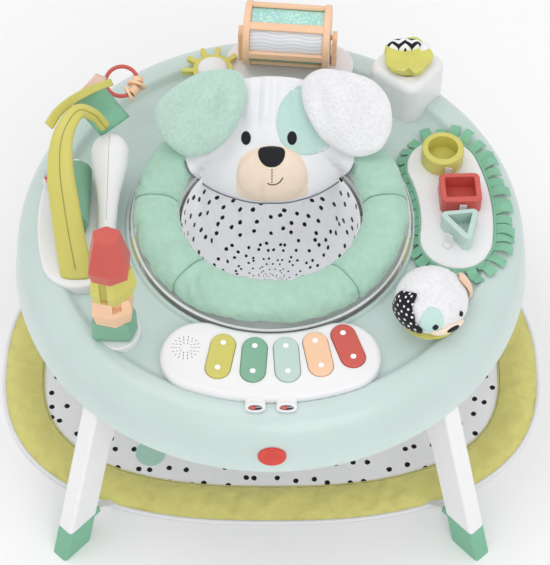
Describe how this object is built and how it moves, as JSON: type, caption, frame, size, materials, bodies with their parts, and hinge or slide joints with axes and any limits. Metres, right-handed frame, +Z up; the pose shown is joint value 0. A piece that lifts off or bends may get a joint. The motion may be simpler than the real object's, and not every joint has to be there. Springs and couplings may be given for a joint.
{
  "type": "activity jumper",
  "caption": "Round mint toy tray on four splayed legs with a sprung turning cloth seat, padded floor mat and toys around the rim.",
  "frame": {"origin": "on the floor, on the seat's turning axis, at the centre of the box seen from above", "axes": "+Z up, +X along the mat's long side towards the sorter, -Y towards the piano"},
  "size_m": [0.912, 0.8, 0.634],
  "materials": {
    "mint_shell": "satin mint tray moulding",
    "white_plastic": "satin white moulding",
    "leg_white": "white moulding",
    "foot_green": "soft green cap",
    "green_plastic": "green moulding",
    "lime_plastic": "lime moulding",
    "coral_plastic": "coral moulding",
    "peach_plastic": "peach moulding",
    "mint_plastic": "mint moulding",
    "badge_red": "gloss red badge",
    "steel": "plated steel",
    "grey_plastic": "hidden grey moulding",
    "battery_black": "cell jacket",
    "mint_fabric": "mint velour",
    "dot_fabric": "white cloth with black dots",
    "mat_fabric": "lime padded border, dotted white centre",
    "white_fabric": "white cloth",
    "plush": "plush",
    "green_fabric": "green cloth",
    "lime_fabric": "lime cloth",
    "strap_white": "white webbing",
    "mirror_face": "baby-safe mirror"
  },
  "bodies": {
    "frame": {"tray_top": "mint_shell", "tray_underframe": "grey_plastic", "leg_front_left": "leg_white", "leg_front_right": "leg_white", "leg_rear_left": "leg_white", "leg_rear_right": "leg_white", "leg_feet": "foot_green", "frame_screws": "steel", "front_badge": "badge_red", "play_mat": "mat_fabric", "mat_straps": "strap_white", "suspension_springs": "steel", "spring_sleeves": "white_fabric", "drum_base": "white_plastic", "drum_posts": "peach_plastic", "sun_base": "white_plastic", "tree_pod": "white_plastic", "tree_trunk": "lime_plastic", "tree_knob": "white_plastic", "tree_leaves": "green_fabric", "stack_base": "white_plastic", "piano_housing": "white_plastic", "piano_base": "grey_plastic", "battery_door": "grey_plastic", "batteries": "battery_black", "sound_module": "grey_plastic", "peek_base": "white_plastic", "sorter_base": "white_plastic", "sorter_fringe": "green_fabric", "block_tethers": "strap_white", "cloth_box": "white_plastic"},
    "carriage": {"bounce_ring": "grey_plastic"},
    "seat": {"seat_ring": "grey_plastic", "seat_cushion": "mint_fabric", "seat_sling": "dot_fabric", "puppy_face_pad": "white_fabric", "puppy_ears": "plush"},
    "drum": {"drum_cage": "peach_plastic", "drum_core": "mint_plastic"},
    "sun": {"sun_wheel": "lime_plastic"},
    "roller": {"green_roller": "green_plastic"},
    "rattle": {"ring_rattle": "coral_plastic"},
    "beads": {"rattle_beads": "peach_plastic"},
    "mirror": {"mirror_disc": "mirror_face"},
    "green_gem": {"block_green": "green_plastic"},
    "peach_gem": {"block_peach": "peach_plastic"},
    "lime_gem": {"block_lime": "lime_plastic"},
    "red_gem": {"block_red": "coral_plastic"},
    "lime_key": {"key_lime": "lime_plastic"},
    "green_key": {"key_green": "green_plastic"},
    "mint_key": {"key_mint": "mint_plastic"},
    "peach_key": {"key_peach": "peach_plastic"},
    "coral_key": {"key_coral": "coral_plastic"},
    "power_slider": {"power_switch": "coral_plastic"},
    "volume_slider": {"volume_switch": "coral_plastic"},
    "puppy": {"peek_puppy": "plush"},
    "sorter_ring": {"ring_block": "lime_plastic"},
    "sorter_square": {"square_block": "coral_plastic"},
    "sorter_triangle": {"triangle_block": "mint_plastic"},
    "cloth": {"pull_cloth": "lime_fabric"}
  },
  "joints": [
    {"name": "seat_bounce", "type": "slide", "parent": "frame", "child": "carriage", "axis": [0, 0, 1], "range_m": [-0.035, 0.008], "stiffness_N_per_m": 1200, "springref_m": 0.025, "deforming": ["suspension_springs", "spring_sleeves"]},
    {"name": "seat_spin", "type": "hinge", "parent": "carriage", "child": "seat", "pos_m": [0, 0, 0.27], "axis": [0, 0, 1], "continuous": true},
    {"name": "drum_spin", "type": "hinge", "parent": "frame", "child": "drum", "pos_m": [0.027, 0.325, 0.4745], "axis": [0.9962, -0.0872, 0], "continuous": true},
    {"name": "sun_spin", "type": "hinge", "parent": "frame", "child": "sun", "pos_m": [-0.094, 0.288, 0.429], "axis": [0, 0, 1], "continuous": true},
    {"name": "roller_spin", "type": "hinge", "parent": "frame", "child": "roller", "pos_m": [-0.301, 0.02, 0.44], "axis": [0, 1, 0], "continuous": true},
    {"name": "ring_swing", "type": "hinge", "parent": "frame", "child": "rattle", "pos_m": [-0.253, 0.203, 0.474], "axis": [0.8, 0.6, 0], "range_deg": [-20, 20]},
    {"name": "bead_slide", "type": "hinge", "parent": "rattle", "child": "beads", "pos_m": [-0.236, 0.226, 0.474], "axis": [0, -0.3499, 0.9368], "range_deg": [-30, 40]},
    {"name": "mirror_turn", "type": "hinge", "parent": "frame", "child": "mirror", "pos_m": [-0.346, 0.058, 0.45], "axis": [0, 0, 1], "range_deg": [-60, 60]},
    {"name": "green_block_spin", "type": "hinge", "parent": "frame", "child": "green_gem", "pos_m": [-0.229, -0.209, 0.43], "axis": [0, 0, 1], "continuous": true},
    {"name": "peach_block_spin", "type": "hinge", "parent": "frame", "child": "peach_gem", "pos_m": [-0.229, -0.209, 0.48], "axis": [0, 0, 1], "continuous": true},
    {"name": "lime_block_spin", "type": "hinge", "parent": "frame", "child": "lime_gem", "pos_m": [-0.229, -0.209, 0.53], "axis": [0, 0, 1], "continuous": true},
    {"name": "red_block_spin", "type": "hinge", "parent": "frame", "child": "red_gem", "pos_m": [-0.229, -0.209, 0.59], "axis": [0, 0, 1], "continuous": true},
    {"name": "lime_key_press", "type": "slide", "parent": "frame", "child": "lime_key", "axis": [0, 0, -1], "range_m": [0, 0.0025], "stiffness_N_per_m": 600},
    {"name": "green_key_press", "type": "slide", "parent": "frame", "child": "green_key", "axis": [0, 0, -1], "range_m": [0, 0.0025], "stiffness_N_per_m": 600},
    {"name": "mint_key_press", "type": "slide", "parent": "frame", "child": "mint_key", "axis": [0, 0, -1], "range_m": [0, 0.0025], "stiffness_N_per_m": 600},
    {"name": "peach_key_press", "type": "slide", "parent": "frame", "child": "peach_key", "axis": [0, 0, -1], "range_m": [0, 0.0025], "stiffness_N_per_m": 600},
    {"name": "coral_key_press", "type": "slide", "parent": "frame", "child": "coral_key", "axis": [0, 0, -1], "range_m": [0, 0.0025], "stiffness_N_per_m": 600},
    {"name": "power_slide", "type": "slide", "parent": "frame", "child": "power_slider", "axis": [1, 0, 0], "range_m": [0, 0.008]},
    {"name": "volume_slide", "type": "slide", "parent": "frame", "child": "volume_slider", "axis": [1, 0, 0], "range_m": [0, 0.008]},
    {"name": "puppy_turn", "type": "hinge", "parent": "frame", "child": "puppy", "pos_m": [0.236, -0.183, 0.43], "axis": [0, 0, 1], "range_deg": [-60, 60]},
    {"name": "ring_flip", "type": "hinge", "parent": "frame", "child": "sorter_ring", "pos_m": [0.3, 0.125, 0.419], "axis": [-0.3401, 0.9404, 0], "range_deg": [0, 60]},
    {"name": "square_flip", "type": "hinge", "parent": "frame", "child": "sorter_square", "pos_m": [0.3229, 0.0351, 0.4185], "axis": [-0.0349, 0.9994, 0], "range_deg": [0, 60]},
    {"name": "triangle_flip", "type": "hinge", "parent": "frame", "child": "sorter_triangle", "pos_m": [0.312, -0.04, 0.4185], "axis": [0.2501, 0.9682, 0], "range_deg": [0, 60]},
    {"name": "cloth_pull", "type": "slide", "parent": "frame", "child": "cloth", "axis": [0, 0, 1], "range_m": [0, 0.06]}
  ]
}
